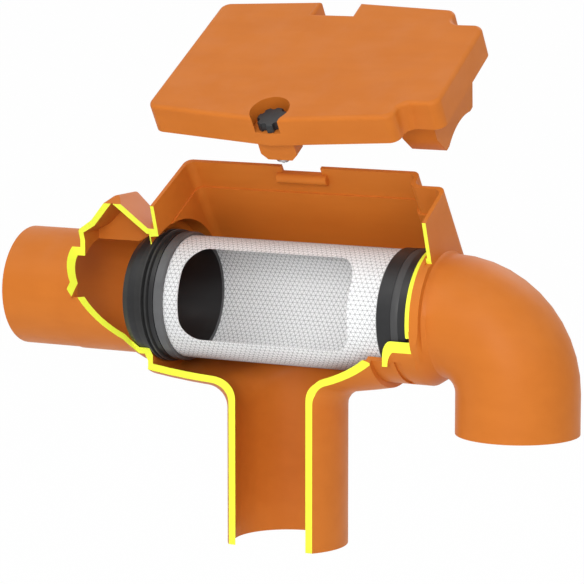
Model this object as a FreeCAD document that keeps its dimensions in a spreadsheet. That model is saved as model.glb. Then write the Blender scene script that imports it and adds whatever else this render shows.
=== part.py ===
"""Rainwater tank filter: a moulded pipe housing with a lifted lid and a horizontal filter cartridge.

The housing is opened by a cut along its front, as on a display unit, so the cartridge is in view.
X runs along the flow from the open end of the inlet spigot, Z is up and the cut side faces -Y.
"""
import FreeCAD, Part
import math
import os
import Sketcher

doc = FreeCAD.newDocument("RainwaterTankFilter")

# Driving sizes in millimetres, with angles in degrees. Places on the left are measured from the drop
# pipe's axis and places on the right back from the start of the elbow's bend. The seats and the cartridge
# follow each other from the chamber's start and from the outlet seat's end.
SIZES = {
    # Pipe ends and the run of the pipe axes
    "pipe_radius": 55,
    "pipe_wall": 5,
    "inlet_reach": 270,
    "drop_reach": 220,
    "outlet_reach": 226.7,
    "bend_radius": 64,
    "outlet_drop": 100,
    "inlet_spigot_length": 62,
    "inlet_shoulder": 0.8,
    # Filter chamber round the cartridge
    "chamber_wall": 5,
    "chamber_start": 121,
    "chamber_start_step": 10.5,
    "chamber_bow": 700,
    "chamber_end": 58.7,
    "chamber_end_step": 4.5,
    "drop_blend": 22,
    "drop_blend_inside": 27,
    # Seats of the two cartridge ends
    "seat_wall": 4.5,
    "inlet_seat_step": 1.3,
    "inlet_seat_start": 10.5,
    "inlet_seat_end": 3.5,
    "inlet_seat_lead": 14,
    "inlet_seat_rise": 7.2,
    "inlet_seat_mouth": 5.2,
    "outlet_seat_radius": 58.5,
    "outlet_seat_end": 17.7,
    # Upstand that carries the lid
    "upstand_lean": 35,
    "rim_tilt": 32,
    "rim_height": 99.6,
    "upstand_wall": 5,
    "upstand_depth": 81,
    "upstand_left": 116,
    "upstand_left_slant": 5.5,
    "upstand_right": 35.7,
    "neck_right": 3.7,
    "neck_depth": 61.5,
    "upstand_corner": 8,
    "ledge_depth": 1.5,
    "ledge_height": 66,
    "notch_middle": 8,
    "notch_width": 40,
    "notch_depth": 7,
    "notch_reach": 16,
    "notch_lip": 5,
    # Hollow dome on top of the inlet pipe
    "dome_left": 197,
    "dome_shoulder_height": 60,
    "dome_slope_start": 181,
    "dome_slope_height": 70,
    "dome_peak": 155.5,
    "dome_peak_height": 96,
    "dome_peak_wall": 8,
    "dome_valley": 122,
    "dome_right": 110,
    "dome_valley_height": 65.5,
    "dome_back": 5,
    "dome_wall": 5,
    "dome_corner": 5,
    # Cut that opens the front
    "cut_plane": 35,
    "cut_upper_start": 50,
    "cut_upper_lean": 19.8,
    "cut_step_height": 8.2,
    "cut_step_start": 45,
    "cut_step_end": 46.7,
    "cut_step_plane": 57,
    "cut_ring_wall": 1.3,
    "cut_ring_width": 5,
    "cut_left": 193.8,
    "cut_slant_end": 112,
    "cut_left_turn": 35.5,
    "cut_left_tip": 31.2,
    # Slot moulded under the outlet seat
    "slot_width": 7,
    "slot_depth": 2.2,
    "slot_place": 28.7,
    "slot_start_angle": 12,
    "slot_end_angle": 55,
    # Filter cartridge
    "mesh_clearance": 2.6,
    "mesh_wall": 1.6,
    "mesh_start": 8,
    "mesh_end": 27.5,
    "window_start": 15.6,
    "window_end": 75.7,
    "window_top_angle": 61,
    "window_bottom_angle": 35,
    "window_corner": 19,
    "ring_wall": 4.3,
    "ring_clearance": 0.3,
    "inlet_ring_start": 7,
    "inlet_ring_taper": 8,
    "inlet_ring_tip": 3.9,
    "groove_depth": 2.9,
    "inlet_groove_start": 14,
    "inlet_groove_end": 16,
    "inlet_flange_step": 3.1,
    "inlet_flange_end": 4.4,
    "clamp_step": 3.3,
    "clamp_edge": 1.2,
    "clamp_width": 9.4,
    "outlet_ring_end": 0.5,
    "outlet_ring_width": 29,
    "outlet_ring_clearance": 0.9,
    "outlet_groove_start": 15,
    "outlet_groove_width": 7,
    "outlet_band_step": 0.4,
    "socket_step": 5,
    # Rubber seals
    "seal_rib_count": 2,
    "seal_rib_height": 3.7,
    "seal_rib_place": 8.2,
    "seal_rib_pitch": 5.2,
    "seal_rib_foot": 3.6,
    "seal_rib_crest": 1.8,
    "outlet_seal_clearance": 0.5,
    # Lid
    "lid_height": 29,
    "lid_wall": 5,
    "lid_left": 120,
    "lid_left_slant": 5,
    "lid_front": 83,
    "lid_front_bulge": 13,
    "lid_back": 78.6,
    "lid_back_bulge": 8,
    "lid_right": 37.7,
    "lid_neck_right": 2.7,
    "lid_neck_front": 62,
    "lid_neck_back": 57,
    "lid_middle": 5,
    "lid_corner": 10,
    "lid_edge": 4,
    "lid_notch_width": 40,
    "lid_notch_depth": 21,
    "lid_shift": 138,
    "lid_lift": 47.4,
    "saddle_right": 22.2,
    "saddle_width": 34,
    "saddle_clearance": 2.4,
    "saddle_foot": 6,
    "saddle_foot_half": 26.4,
    "saddle_height": 45.6,
    "saddle_flank_half": 44,
    "saddle_flank_height": 25.6,
    # Knob in the lid
    "knob_radius": 14,
    "knob_height": 8,
    "knob_lobes": 7,
    "knob_dent_radius": 3.2,
    "knob_place": 81,
    "knob_edge": 1.6,
    "recess_radius": 18.5,
    "recess_floor": 13,
    "recess_wall": 4,
    "boss_width": 36,
    "boss_depth": 14,
    "boss_height": 22,
    "boss_corner": 6,
    "stud_radius": 4,
    "stud_reach": 6,
    "stud_clearance": 0.4,
    "retainer_radius": 7,
    "retainer_height": 2,
}

sheet = doc.addObject("Spreadsheet::Sheet", "Sizes")
for row, (alias, number) in enumerate(SIZES.items(), start=1):
    sheet.set(f"A{row}", alias)
    sheet.set(f"B{row}", str(number))
    sheet.setAlias(f"B{row}", alias)
doc.recompute()

FULL_TURN = 360
SPAN = 1000
CLOSE = 0.001
X_AXIS = FreeCAD.Vector(1, 0, 0)
Y_AXIS = FreeCAD.Vector(0, 1, 0)
Z_AXIS = FreeCAD.Vector(0, 0, 1)
UPRIGHT = FreeCAD.Placement(FreeCAD.Vector(), FreeCAD.Rotation(X_AXIS, FULL_TURN / 4))


def size(alias):
    """Read one driving size from the sheet."""
    return float(sheet.get(alias))


def bind(sketch, kind, geometry, guess, expression):
    """Add one dimension to a sketch and bind it to an expression."""
    number = sketch.addConstraint(Sketcher.Constraint(kind, *geometry, guess))
    sketch.setExpression(f"Constraints[{number}]", expression)


def outline(name, corners, bowed=None, bow_radius=None):
    """Draw a closed sketch whose corners are pairs of expressions on the sheet.

    The side that starts at the corner numbered bowed is an arc of bow_radius, bulging upwards.
    """
    sketch = doc.addObject("Sketcher::SketchObject", name)
    count = len(corners)
    guesses = []
    for index in range(count):
        angle = 2 * math.pi * index / count
        guesses.append(FreeCAD.Vector(math.cos(angle), math.sin(angle), 0) * size("pipe_radius"))
    sides = {}
    for index in range(count):
        if index != bowed:
            line = Part.LineSegment(guesses[index], guesses[(index + 1) % count])
            sides[index] = sketch.addGeometry(line, False)
    for index, (across, along) in enumerate(corners):
        before = (index - 1) % count
        end = (sides[index], 1) if index in sides else (sides[before], 2)
        if index in sides and before in sides:
            sketch.addConstraint(Sketcher.Constraint("Coincident", sides[before], 2, sides[index], 1))
        bind(sketch, "DistanceX", (-1, 1, *end), guesses[index].x, across)
        bind(sketch, "DistanceY", (-1, 1, *end), guesses[index].y, along)
    if bowed is not None:
        add_bow(sketch, (sides[bowed - 1], 2), (sides[bowed + 1], 1), bow_radius)
    return sketch


def add_bow(sketch, start, end, radius):
    """Close the open side of a sketch from start to end with an arc that bulges upwards."""
    doc.recompute()
    first = sketch.getPoint(*start)
    last = sketch.getPoint(*end)
    half = (last - first) * 0.5
    across = FreeCAD.Vector(-half.y, half.x, 0).normalize()
    if across.y < 0:
        across = -across
    guess = size("chamber_bow")
    rise = guess - math.sqrt(guess ** 2 - half.Length ** 2)
    arc = sketch.addGeometry(Part.Arc(first, first + half + across * rise, last), False)
    begins_first = sketch.getPoint(arc, 1).distanceToPoint(first) < half.Length
    first_end = 1 if begins_first else 2
    sketch.addConstraint(Sketcher.Constraint("Coincident", arc, first_end, *start))
    sketch.addConstraint(Sketcher.Constraint("Coincident", arc, 3 - first_end, *end))
    bind(sketch, "Radius", (arc,), guess, radius)


def revolved(name, corners, bowed=None, bow_radius=None):
    """Turn a profile about the pipe axis into a solid."""
    sketch = outline(name + "Profile", corners, bowed, bow_radius)
    solid = doc.addObject("Part::Revolution", name)
    solid.Source = sketch
    solid.Axis = X_AXIS
    solid.Angle = FULL_TURN
    solid.Solid = True
    return solid


def extruded(name, corners, length, back="0", placement=None):
    """Push a sketched outline along its own normal, by length forwards and by back the other way."""
    sketch = outline(name + "Outline", corners)
    if placement:
        sketch.Placement = placement
    solid = doc.addObject("Part::Extrusion", name)
    solid.Base = sketch
    solid.DirMode = "Normal"
    solid.Solid = True
    solid.setExpression("LengthFwd", length)
    solid.setExpression("LengthRev", back)
    return solid


def cylinder(name, radius, height, place, axis=X_AXIS):
    """Make a round bar from place along an axis; place is three expressions."""
    bar = doc.addObject("Part::Cylinder", name)
    bar.setExpression("Radius", radius)
    bar.setExpression("Height", height)
    bar.Placement = FreeCAD.Placement(FreeCAD.Vector(), FreeCAD.Rotation(Z_AXIS, axis))
    put(bar, place)
    return bar


def put(item, place):
    """Bind the three parts of an object's position to expressions."""
    for letter, expression in zip("xyz", place):
        item.setExpression(f".Placement.Base.{letter}", expression)


def fused(name, items):
    """Join solids into one."""
    joined = doc.addObject("Part::MultiFuse", name)
    joined.Shapes = items
    joined.Refine = False
    return joined


def shared(name, items):
    """Keep what several solids have in common."""
    common = doc.addObject("Part::MultiCommon", name)
    common.Shapes = items
    common.Refine = False
    return common


def cut(name, base, tools):
    """Take one or more tools away from a base."""
    tool = tools[0] if len(tools) == 1 else fused(name + "Tools", tools)
    result = doc.addObject("Part::Cut", name)
    result.Base = base
    result.Tool = tool
    result.Refine = False
    return result


def rounded(name, base, alias, chosen):
    """Round the edges of base that the test chosen accepts, by a radius from the sheet."""
    doc.recompute()
    radius = size(alias)
    edges = []
    for number, edge in enumerate(base.Shape.Edges, start=1):
        if chosen(edge):
            edges.append((number, radius, radius))
    fillet = doc.addObject("Part::Fillet", name)
    fillet.Base = base
    fillet.Edges = edges
    return fillet


def runs_along(edge, direction):
    """Tell whether an edge is straight and parallel to a direction."""
    if not isinstance(edge.Curve, Part.Line):
        return False
    return abs(abs(edge.Curve.Direction.dot(direction)) - 1) < CLOSE ** 2


def leaning(alias):
    """Give the placement whose Z axis leans towards -Y by an angle from the sheet."""
    return FreeCAD.Placement(FreeCAD.Vector(), FreeCAD.Rotation(X_AXIS, size(alias)))


# Moulded housing, first as a solid outer form and then as the hollow to take out of it.
AXIS = "Sizes.inlet_reach"
BEND_START = f"{AXIS} + Sizes.outlet_reach - Sizes.bend_radius"
OUTLET_SEAT_END = f"{BEND_START} - Sizes.outlet_seat_end"
CUT_RIGHT = f"{OUTLET_SEAT_END} + Sizes.cut_ring_width"
INLET_SEAT_END = f"{AXIS} - Sizes.chamber_start - Sizes.inlet_seat_end"
INLET_SEAT_START = f"{INLET_SEAT_END} - Sizes.inlet_seat_start"


def meets_drop(edge):
    """Tell whether an edge is the curve where the chamber meets the drop pipe."""
    return isinstance(edge.Curve, Part.BSplineCurve) and edge.BoundBox.ZMax < 0


INLET_SEAT = "(Sizes.outlet_seat_radius - Sizes.inlet_seat_step)"


def passage(prefix, wall, blend, shoulder):
    """Give the pipes, chamber, seats and drop of the housing; wall is zero for the hollow."""
    skin = f"+ {wall} * Sizes."
    pipe = f"Sizes.pipe_radius - Sizes.pipe_wall {skin}pipe_wall"
    inlet = f"{pipe} {skin}inlet_shoulder"
    inlet_seat = f"{INLET_SEAT} {skin}seat_wall"
    rise = f"({INLET_SEAT} - Sizes.pipe_radius + Sizes.pipe_wall)"
    lead = f"{rise} * Sizes.inlet_seat_lead / Sizes.inlet_seat_rise"
    outlet_seat = f"Sizes.outlet_seat_radius {skin}seat_wall"
    start = f"{AXIS} - Sizes.chamber_start - {wall} * Sizes.chamber_wall"
    end = f"{BEND_START} - Sizes.chamber_end + {wall} * Sizes.chamber_wall"
    seat_end = f"{OUTLET_SEAT_END} + {wall} * Sizes.cut_ring_width"
    before = [("0", "0"), ("0", pipe), *shoulder]
    before += [
        (f"{INLET_SEAT_START} - {lead}", inlet),
        (INLET_SEAT_START, inlet_seat),
        (f"{INLET_SEAT_END} - {wall} * Sizes.chamber_wall", inlet_seat),
        (start, f"{inlet_seat} + Sizes.inlet_seat_mouth"),
    ]
    after = [
        (end, f"Sizes.outlet_seat_radius + Sizes.chamber_end_step {skin}chamber_wall"),
        (end, outlet_seat),
        (seat_end, outlet_seat),
    ]
    if not wall:
        after.append((seat_end, pipe))
    after += [(BEND_START, pipe), (BEND_START, "0")]
    widest_start = (start, f"Sizes.outlet_seat_radius + Sizes.chamber_start_step {skin}chamber_wall")
    barrel = revolved(prefix + "Barrel", [*before, widest_start, *after], len(before),
                      f"Sizes.chamber_bow {skin}chamber_wall")
    drop = cylinder(prefix + "Drop", pipe, "Sizes.drop_reach", (AXIS, "0", "-Sizes.drop_reach"), Z_AXIS)
    bend = doc.addObject("Part::Torus", prefix + "Bend")
    bend.setExpression("Radius1", "Sizes.bend_radius")
    bend.setExpression("Radius2", pipe)
    bend.Angle3 = FULL_TURN / 4
    bend.Placement = UPRIGHT
    put(bend, (BEND_START, "0", "-Sizes.bend_radius"))
    tail = cylinder(prefix + "Tail", pipe, "Sizes.outlet_drop - Sizes.bend_radius",
                    (f"{AXIS} + Sizes.outlet_reach", "0", "-Sizes.outlet_drop"), Z_AXIS)
    joined = rounded(prefix + "Blend", fused(prefix + "Cross", [barrel, drop]), blend, meets_drop)
    return joined, [bend, tail]


def upstand(prefix, inset, start="0"):
    """Give the leaning box round the chamber's mouth, drawn inset by a wall and begun at a height."""
    left_front = f"{AXIS} - Sizes.upstand_left - Sizes.upstand_left_slant + {inset}"
    left_back = f"{AXIS} - Sizes.upstand_left + Sizes.upstand_left_slant + {inset}"
    depth = f"Sizes.upstand_depth - {inset}"
    neck = f"Sizes.neck_depth - {inset}"
    right = f"{BEND_START} - Sizes.upstand_right - {inset}"
    neck_right = f"{BEND_START} - Sizes.neck_right - {inset}"
    box = extruded(prefix, [
        (left_front, f"-({depth})"),
        (right, f"-({depth})"),
        (right, f"-({neck})"),
        (neck_right, f"-({neck})"),
        (neck_right, neck),
        (right, neck),
        (right, depth),
        (left_back, depth),
    ], "Sizes.rim_height * 2", placement=leaning("upstand_lean"))
    put(box, ("0", f"-({start}) * sin(Sizes.upstand_lean)", f"({start}) * cos(Sizes.upstand_lean)"))
    lean = leaning("upstand_lean").Rotation.multVec(Z_AXIS)
    return rounded(prefix + "Rounded", box, "upstand_corner", lambda edge: runs_along(edge, lean))


def dome(prefix, inset, peak, right):
    """Give the three-cornered hollow on the inlet pipe, drawn inset by a wall expression."""
    return extruded(prefix, [
        (f"{AXIS} - Sizes.dome_left + {inset}", "0"),
        (f"{AXIS} - Sizes.dome_left + {inset}", f"Sizes.dome_shoulder_height - {inset} / 2"),
        (f"{AXIS} - Sizes.dome_slope_start + {inset} / 2", f"Sizes.dome_slope_height - {inset}"),
        (f"{AXIS} - Sizes.dome_peak", peak),
        (f"{AXIS} - Sizes.dome_valley - {inset} / 2", f"Sizes.dome_valley_height - {inset}"),
        (right, f"Sizes.dome_valley_height - {inset}"),
        (right, "0"),
    ], "Sizes.pipe_radius + Sizes.pipe_wall", f"-(Sizes.dome_back + {inset})",
        UPRIGHT)


spigot_shoulder = [
    ("Sizes.inlet_spigot_length", "Sizes.pipe_radius"),
    ("Sizes.inlet_spigot_length", "Sizes.pipe_radius + Sizes.inlet_shoulder"),
]
outer_cross, outer_bends = passage("Outer", 1, "drop_blend", spigot_shoulder)
outer_box = upstand("OuterUpstand", "0")
outer_dome = rounded(
    "OuterDomeRounded", dome("OuterDome", "0", "Sizes.dome_peak_height", f"{AXIS} - Sizes.dome_right"),
    "dome_corner", lambda edge: runs_along(edge, Y_AXIS))
outer_chamber = fused("OuterChamber", [outer_cross, outer_box])
outer_form = fused("OuterForm", [outer_chamber, outer_dome])

inner_cross, inner_bends = passage("Inner", 0, "drop_blend_inside", [])
inner_box = upstand("InnerUpstand", "Sizes.upstand_wall")
ledge_box = upstand("InnerLedge", "(Sizes.upstand_wall - Sizes.ledge_depth)", "Sizes.ledge_height")
inner_dome = dome("InnerDome", "Sizes.dome_wall", "Sizes.dome_peak_height - Sizes.dome_peak_wall",
                  f"{AXIS} - Sizes.dome_valley")
inner_chamber = fused("InnerChamber", [inner_cross, inner_box])
hollow = fused("Hollow", [inner_chamber, inner_dome, ledge_box])

above_rim = doc.addObject("Part::Box", "AboveRim")
above_rim.Length = SPAN
above_rim.Width = SPAN
above_rim.Height = SPAN
above_rim.Placement = leaning("rim_tilt")
rim_place = leaning("rim_tilt").Rotation.multVec(FreeCAD.Vector(-SPAN / 4, -SPAN / 2, size("rim_height")))
above_rim.Placement.Base = rim_place


def on_back_rim(item, left, down, inwards):
    """Place an item on the back wall's rim, by expressions for its left end, drop and reach inwards."""
    lean_back = "Sizes.rim_height * tan(Sizes.upstand_lean - Sizes.rim_tilt)"
    along = f"(Sizes.upstand_depth - {lean_back} - {inwards})"
    above = f"(Sizes.rim_height - {down})"
    put(item, (f"{AXIS} + Sizes.notch_middle - {left}",
               f"{along} * cos(Sizes.rim_tilt) - {above} * sin(Sizes.rim_tilt)",
               f"{along} * sin(Sizes.rim_tilt) + {above} * cos(Sizes.rim_tilt)"))


rim_notch = doc.addObject("Part::Box", "RimNotch")
rim_notch.setExpression("Length", "Sizes.notch_width")
rim_notch.setExpression("Width", "Sizes.notch_reach * 2")
rim_notch.setExpression("Height", "Sizes.notch_depth * 2")
rim_notch.Placement = leaning("rim_tilt")
on_back_rim(rim_notch, "Sizes.notch_width / 2", "Sizes.notch_depth", "Sizes.notch_reach")
notch_lip = cylinder("NotchLip", "Sizes.notch_lip", "Sizes.notch_width + Sizes.notch_lip * 2",
                     ("0", "0", "0"))
on_back_rim(notch_lip, "(Sizes.notch_width / 2 + Sizes.notch_lip)", "(Sizes.notch_depth + Sizes.notch_lip)",
            "(Sizes.upstand_wall - Sizes.ledge_depth / 2)")

# Slot moulded into the underside of the outlet seat.
slot_tool = cylinder("SlotTool", "Sizes.outlet_seat_radius + Sizes.seat_wall * 2", "Sizes.slot_width",
                     ("0", "0", "0"))
slot_turn = FreeCAD.Rotation(X_AXIS, -size("slot_end_angle"))
slot_tool.Placement = FreeCAD.Placement(
    FreeCAD.Vector(), slot_turn.multiply(FreeCAD.Rotation(Z_AXIS, X_AXIS)))
slot_tool.setExpression("Angle", "Sizes.slot_end_angle - Sizes.slot_start_angle")
put(slot_tool, (f"{BEND_START} - Sizes.slot_place - Sizes.slot_width / 2", "0", "0"))
slot_core = cylinder("SlotCore", "Sizes.outlet_seat_radius + Sizes.seat_wall - Sizes.slot_depth",
                     "Sizes.slot_width * 3",
                     (f"{BEND_START} - Sizes.slot_place - Sizes.slot_width * 1.5", "0", "0"))
slot = cut("Slot", slot_tool, [slot_core])

# Front cut: a stepped plane below, a leaning plane above, and a slanting end on the inlet pipe.
below = extruded("CutBelow", [
    ("-Sizes.inlet_reach", "-Sizes.cut_plane"),
    ("-Sizes.inlet_reach", f"-{SPAN / 4}"),
    (CUT_RIGHT, f"-{SPAN / 4}"),
    (CUT_RIGHT, "-Sizes.cut_step_plane"),
    (f"{BEND_START} - Sizes.cut_step_end", "-Sizes.cut_step_plane"),
    (f"{AXIS} + Sizes.cut_step_start", "-Sizes.cut_plane"),
], "Sizes.drop_reach * 2")
put(below, ("0", "0", "-Sizes.cut_step_height - Sizes.drop_reach * 2"))
middle = doc.addObject("Part::Box", "CutMiddle")
middle.setExpression("Length", f"{AXIS} + {CUT_RIGHT}")
middle.setExpression("Width", f"{SPAN / 4}")
middle.setExpression("Height", "Sizes.cut_step_height + Sizes.cut_upper_start")
put(middle, (f"-{AXIS}", f"-Sizes.cut_plane - {SPAN / 4}", "-Sizes.cut_step_height"))
ring_left = cylinder("CutRingKept", "Sizes.outlet_seat_radius + Sizes.cut_ring_wall",
                     "Sizes.cut_ring_width", (OUTLET_SEAT_END, "0", "0"))
middle_open = cut("CutMiddleOpen", middle, [ring_left])
upper = doc.addObject("Part::Box", "CutUpper")
upper.Length = SPAN
upper.Width = SPAN / 4
upper.Height = SPAN / 4
upper_lean = FreeCAD.Rotation(X_AXIS, size("cut_upper_lean"))
upper_corner = FreeCAD.Vector(-SPAN / 4, -size("cut_plane"), size("cut_upper_start"))
upper.Placement = FreeCAD.Placement(
    upper_corner + upper_lean.multVec(FreeCAD.Vector(0, -SPAN / 4, 0)), upper_lean)
slant = doc.addObject("Part::Box", "CutSlant")
slant.Length = SPAN
slant.Width = SPAN
slant.Height = SPAN
slant_turn = FreeCAD.Rotation(-size("cut_left_turn"), -size("cut_left_tip"), 0)
slant_point = FreeCAD.Vector(
    size("inlet_reach") - size("cut_left"), -size("pipe_radius"), size("cut_step_height"))
slant.Placement = FreeCAD.Placement(
    slant_point + slant_turn.multVec(FreeCAD.Vector(0, -SPAN / 2, -SPAN / 2)), slant_turn)
beside = doc.addObject("Part::Box", "CutBeside")
beside.Length = SPAN
beside.Width = SPAN
beside.Height = SPAN
put(beside, (f"{AXIS} - Sizes.cut_slant_end", f"-{SPAN / 2}", f"-{SPAN / 2}"))
front = shared("FrontCut", [fused("FrontCutWhole", [below, middle_open, upper]),
                            fused("FrontCutReach", [slant, beside])])
neck_front = doc.addObject("Part::Box", "CutNeckFront")
neck_front.setExpression("Length", "Sizes.outlet_seat_end + Sizes.seat_wall - Sizes.neck_right")
neck_front.setExpression("Width", f"{SPAN / 4}")
neck_front.setExpression("Height", "Sizes.pipe_radius + Sizes.cut_upper_start")
put(neck_front, (f"{CUT_RIGHT} - Sizes.seat_wall / 4",
                 f"-Sizes.cut_plane - {SPAN / 4}", "-Sizes.pipe_radius"))
neck_round = cylinder("CutNeckKept", "Sizes.outlet_seat_radius + Sizes.seat_wall + Sizes.ring_clearance",
                      "Sizes.outlet_reach", (f"{BEND_START} - Sizes.chamber_end", "0", "0"))
neck_cut = cut("CutNeck", neck_front, [neck_round])

chamber_shell = cut("ChamberBelowRim", cut("ChamberShell", outer_form, [hollow]), [above_rim])
chamber_opened = cut("ChamberOpened", cut("ChamberFront", chamber_shell, [front]), [neck_cut])
chamber_notched = cut("ChamberNotched", cut("ChamberSlotted", chamber_opened, [slot]), [rim_notch])
elbow_shell = cut("ElbowShell", fused("OuterElbow", outer_bends), inner_bends)
housing = fused("Housing", [fused("ChamberLipped", [chamber_notched, notch_lip]), elbow_shell])
housing.Label = "housing"


def turned_ring(label, corners):
    """Make a cartridge piece as a ring turned about the pipe axis."""
    ring = revolved(label.title().replace("_", ""), corners)
    ring.Label = label
    return ring


# Cartridge: the mesh tube with its window, a ring at each end, and the rubber seals on the rings.
MESH_RADIUS = "(Sizes.outlet_seat_radius - Sizes.mesh_clearance)"
MESH_BORE = f"({MESH_RADIUS} - Sizes.mesh_wall)"
RING_BORE = f"({MESH_BORE} - Sizes.ring_wall)"
RING_SPIGOT = f"({MESH_BORE} - Sizes.ring_clearance)"
RING_SOCKET = f"({MESH_RADIUS} + Sizes.ring_clearance)"
INLET_RING = f"{INLET_SEAT_START} - Sizes.inlet_ring_start"
SEAL_START = f"{INLET_RING} + Sizes.inlet_groove_start"
SEAL_END = f"{SEAL_START} + Sizes.inlet_groove_end"
FLANGE_END = f"{SEAL_END} + Sizes.inlet_flange_end"
MESH_START = f"{FLANGE_END} + Sizes.mesh_start"
OUTLET_RING_END = f"{OUTLET_SEAT_END} - Sizes.outlet_ring_end"
OUTLET_RING = f"{OUTLET_RING_END} - Sizes.outlet_ring_width"
MESH_END = f"{OUTLET_RING_END} - Sizes.mesh_end"

mesh_tube = turned_ring("mesh_blank", [
    (MESH_START, MESH_BORE),
    (MESH_START, MESH_RADIUS),
    (MESH_END, MESH_RADIUS),
    (MESH_END, MESH_BORE),
])
window_top = f"{MESH_RADIUS} * sin(Sizes.window_top_angle)"
window_bottom = f"-{MESH_RADIUS} * sin(Sizes.window_bottom_angle)"
window_blank = extruded("Window", [
    (f"{MESH_START} + Sizes.window_start", window_bottom),
    (f"{BEND_START} - Sizes.window_end", window_bottom),
    (f"{BEND_START} - Sizes.window_end", window_top),
    (f"{MESH_START} + Sizes.window_start", window_top),
], f"{MESH_RADIUS} * 2", placement=UPRIGHT)
window = rounded("WindowRounded", window_blank, "window_corner", lambda edge: runs_along(edge, Y_AXIS))
filter_mesh = cut("FilterMesh", mesh_tube, [window])
filter_mesh.Label = "filter_mesh"

INLET_BAND = f"({INLET_SEAT} - Sizes.ring_clearance)"
INLET_GROOVE = f"({INLET_BAND} - Sizes.groove_depth)"
INLET_FLANGE = f"({MESH_RADIUS} + Sizes.inlet_flange_step)"
inlet_end_ring = turned_ring("inlet_end_ring", [
    (INLET_RING, RING_BORE),
    (INLET_RING, f"{INLET_BAND} - Sizes.inlet_ring_tip"),
    (f"{INLET_RING} + Sizes.inlet_ring_taper", INLET_BAND),
    (SEAL_START, INLET_BAND),
    (SEAL_START, INLET_GROOVE),
    (SEAL_END, INLET_GROOVE),
    (SEAL_END, INLET_FLANGE),
    (FLANGE_END, INLET_FLANGE),
    (FLANGE_END, RING_SPIGOT),
    (f"{MESH_START} + Sizes.socket_step", RING_SPIGOT),
    (f"{MESH_START} + Sizes.socket_step", RING_BORE),
])

CLAMP_RADIUS = f"({MESH_RADIUS} + Sizes.clamp_step)"
inlet_clamp_ring = turned_ring("inlet_clamp_ring", [
    (FLANGE_END, MESH_BORE),
    (FLANGE_END, f"{CLAMP_RADIUS} - Sizes.clamp_edge"),
    (f"{FLANGE_END} + Sizes.clamp_edge", CLAMP_RADIUS),
    (f"{FLANGE_END} + Sizes.clamp_width - Sizes.clamp_edge", CLAMP_RADIUS),
    (f"{FLANGE_END} + Sizes.clamp_width", f"{CLAMP_RADIUS} - Sizes.clamp_edge"),
    (f"{FLANGE_END} + Sizes.clamp_width", RING_SOCKET),
    (f"{MESH_START} - Sizes.ring_clearance", RING_SOCKET),
    (f"{MESH_START} - Sizes.ring_clearance", MESH_BORE),
])

# The inlet seal fills its groove and its ribs stand up against the chamber's end wall.
seal_corners = [(SEAL_START, INLET_GROOVE), (SEAL_START, INLET_BAND)]
for number in range(SIZES["seal_rib_count"]):
    rib = f"{SEAL_START} + Sizes.seal_rib_place + {number} * Sizes.seal_rib_pitch"
    seal_corners += [
        (f"{rib} - Sizes.seal_rib_foot / 2", INLET_BAND),
        (f"{rib} - Sizes.seal_rib_crest / 2", f"{INLET_BAND} + Sizes.seal_rib_height"),
        (f"{rib} + Sizes.seal_rib_crest / 2", f"{INLET_BAND} + Sizes.seal_rib_height"),
        (f"{rib} + Sizes.seal_rib_foot / 2", INLET_BAND),
    ]
seal_corners += [(SEAL_END, INLET_BAND), (SEAL_END, INLET_GROOVE)]
inlet_seal = turned_ring("inlet_seal", seal_corners)

OUTLET_RADIUS = "(Sizes.outlet_seat_radius - Sizes.outlet_ring_clearance)"
OUTLET_BAND = f"({OUTLET_RADIUS} - Sizes.outlet_band_step)"
OUTLET_GROOVE = f"({OUTLET_BAND} - Sizes.groove_depth)"
GROOVE_START = f"{OUTLET_RING_END} - Sizes.outlet_groove_start"
GROOVE_END = f"{GROOVE_START} + Sizes.outlet_groove_width"
outlet_end_ring = turned_ring("outlet_end_ring", [
    (f"{MESH_END} + Sizes.ring_clearance", RING_BORE),
    (f"{MESH_END} + Sizes.ring_clearance", RING_SOCKET),
    (OUTLET_RING, RING_SOCKET),
    (OUTLET_RING, f"{OUTLET_RADIUS} - Sizes.clamp_edge"),
    (f"{OUTLET_RING} + Sizes.clamp_edge", OUTLET_RADIUS),
    (GROOVE_START, OUTLET_RADIUS),
    (GROOVE_START, OUTLET_GROOVE),
    (GROOVE_END, OUTLET_GROOVE),
    (GROOVE_END, OUTLET_BAND),
    (f"{OUTLET_RING_END} - Sizes.clamp_edge", OUTLET_BAND),
    (OUTLET_RING_END, f"{OUTLET_BAND} - Sizes.clamp_edge"),
    (OUTLET_RING_END, RING_BORE),
])
outlet_seal = turned_ring("outlet_seal", [
    (GROOVE_START, OUTLET_GROOVE),
    (GROOVE_START, OUTLET_BAND),
    (f"{GROOVE_START} + Sizes.outlet_groove_width / 2",
     "Sizes.outlet_seat_radius - Sizes.outlet_seal_clearance"),
    (GROOVE_END, OUTLET_BAND),
    (GROOVE_END, OUTLET_GROOVE),
])

# Lid, drawn on its own bottom plane with the housing's axis below it, then lifted off.
lid_tilt = leaning("rim_tilt").Rotation
lid_seat = FreeCAD.Vector(0, size("lid_shift"), size("rim_height") + size("lid_lift"))
LID_PLACE = FreeCAD.Placement(lid_tilt.multVec(lid_seat), lid_tilt)


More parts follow.
